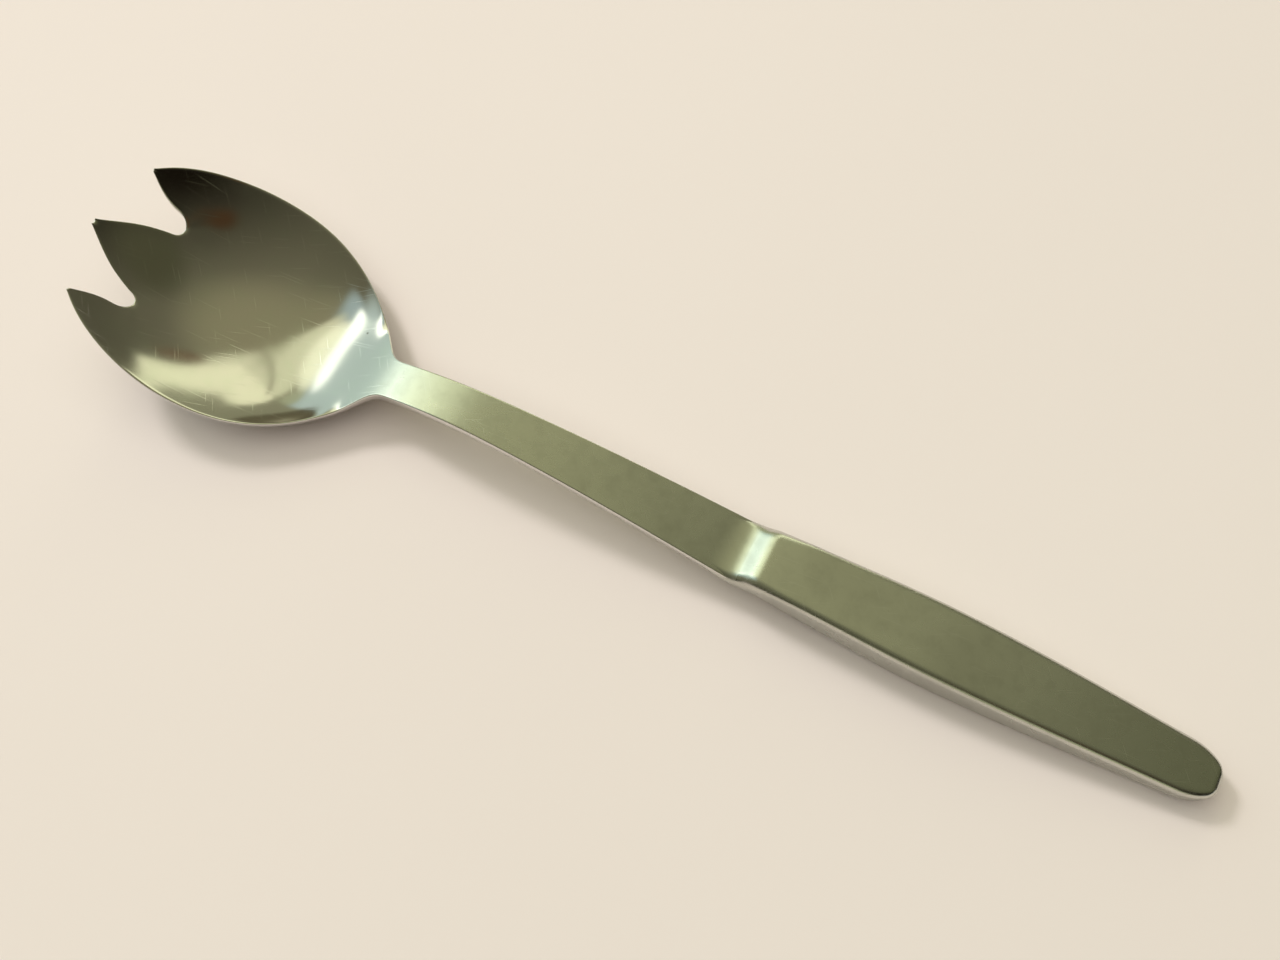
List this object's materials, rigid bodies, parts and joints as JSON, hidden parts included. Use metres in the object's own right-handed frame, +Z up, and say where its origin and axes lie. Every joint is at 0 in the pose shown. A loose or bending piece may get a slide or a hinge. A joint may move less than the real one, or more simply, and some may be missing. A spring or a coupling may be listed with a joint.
{
  "type": "spork",
  "caption": "Stainless table spork: an oval bowl notched into tines, a flat arched stem and a thicker hollow handle that steps up from the stem.",
  "frame": {"origin": "middle of the overall length and width, on the table that the spork rests on", "axes": "+X along the spork from the tines to the handle's end, +Y across it, +Z up from the table into the open side of the bowl"},
  "size_m": [0.2002, 0.0404, 0.0168],
  "materials": {
    "head_steel": "half polished inside the bowl, satin along the stem",
    "handle_steel": "satin, brushed along the handle",
    "braze": "silver braze, ground flush and polished",
    "cement": "rough set filler, hidden"
  },
  "bodies": {
    "root": {"spork_head": "head_steel", "upper_shell": "handle_steel", "lower_shell": "handle_steel", "shell_seam": "braze", "mouth_fillet": "braze", "tang_cement": "cement"}
  },
  "joints": []
}
